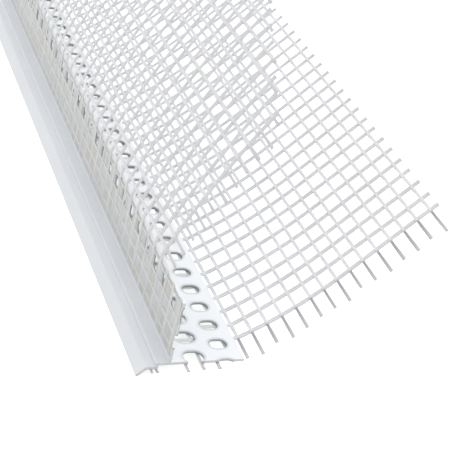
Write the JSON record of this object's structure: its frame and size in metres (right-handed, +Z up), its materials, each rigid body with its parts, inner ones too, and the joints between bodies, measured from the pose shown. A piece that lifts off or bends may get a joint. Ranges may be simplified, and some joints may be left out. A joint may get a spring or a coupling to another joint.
{
  "type": "drip edge profile with mesh",
  "caption": "White extruded drip edge profile with two perforated legs at a right angle, a bent drip nose, and a strip of glass-fibre mesh bonded to each leg.",
  "frame": {"origin": "under the middle of the whole part, on the level of its lowest edge", "axes": "+Y along the length, +X out along the flat leg, +Z up along the upright leg"},
  "size_m": [0.0872, 2.0026, 0.0955],
  "materials": {
    "pvc": "satin white extruded PVC",
    "mesh": "coated pale grey glass-fibre yarn"
  },
  "bodies": {
    "root": {"pvc_profile": "pvc", "facade_mesh_cross_yarns": "mesh", "facade_mesh_lengthwise_yarns": "mesh", "soffit_mesh_cross_yarns": "mesh", "soffit_mesh_lengthwise_yarns": "mesh"}
  },
  "joints": []
}
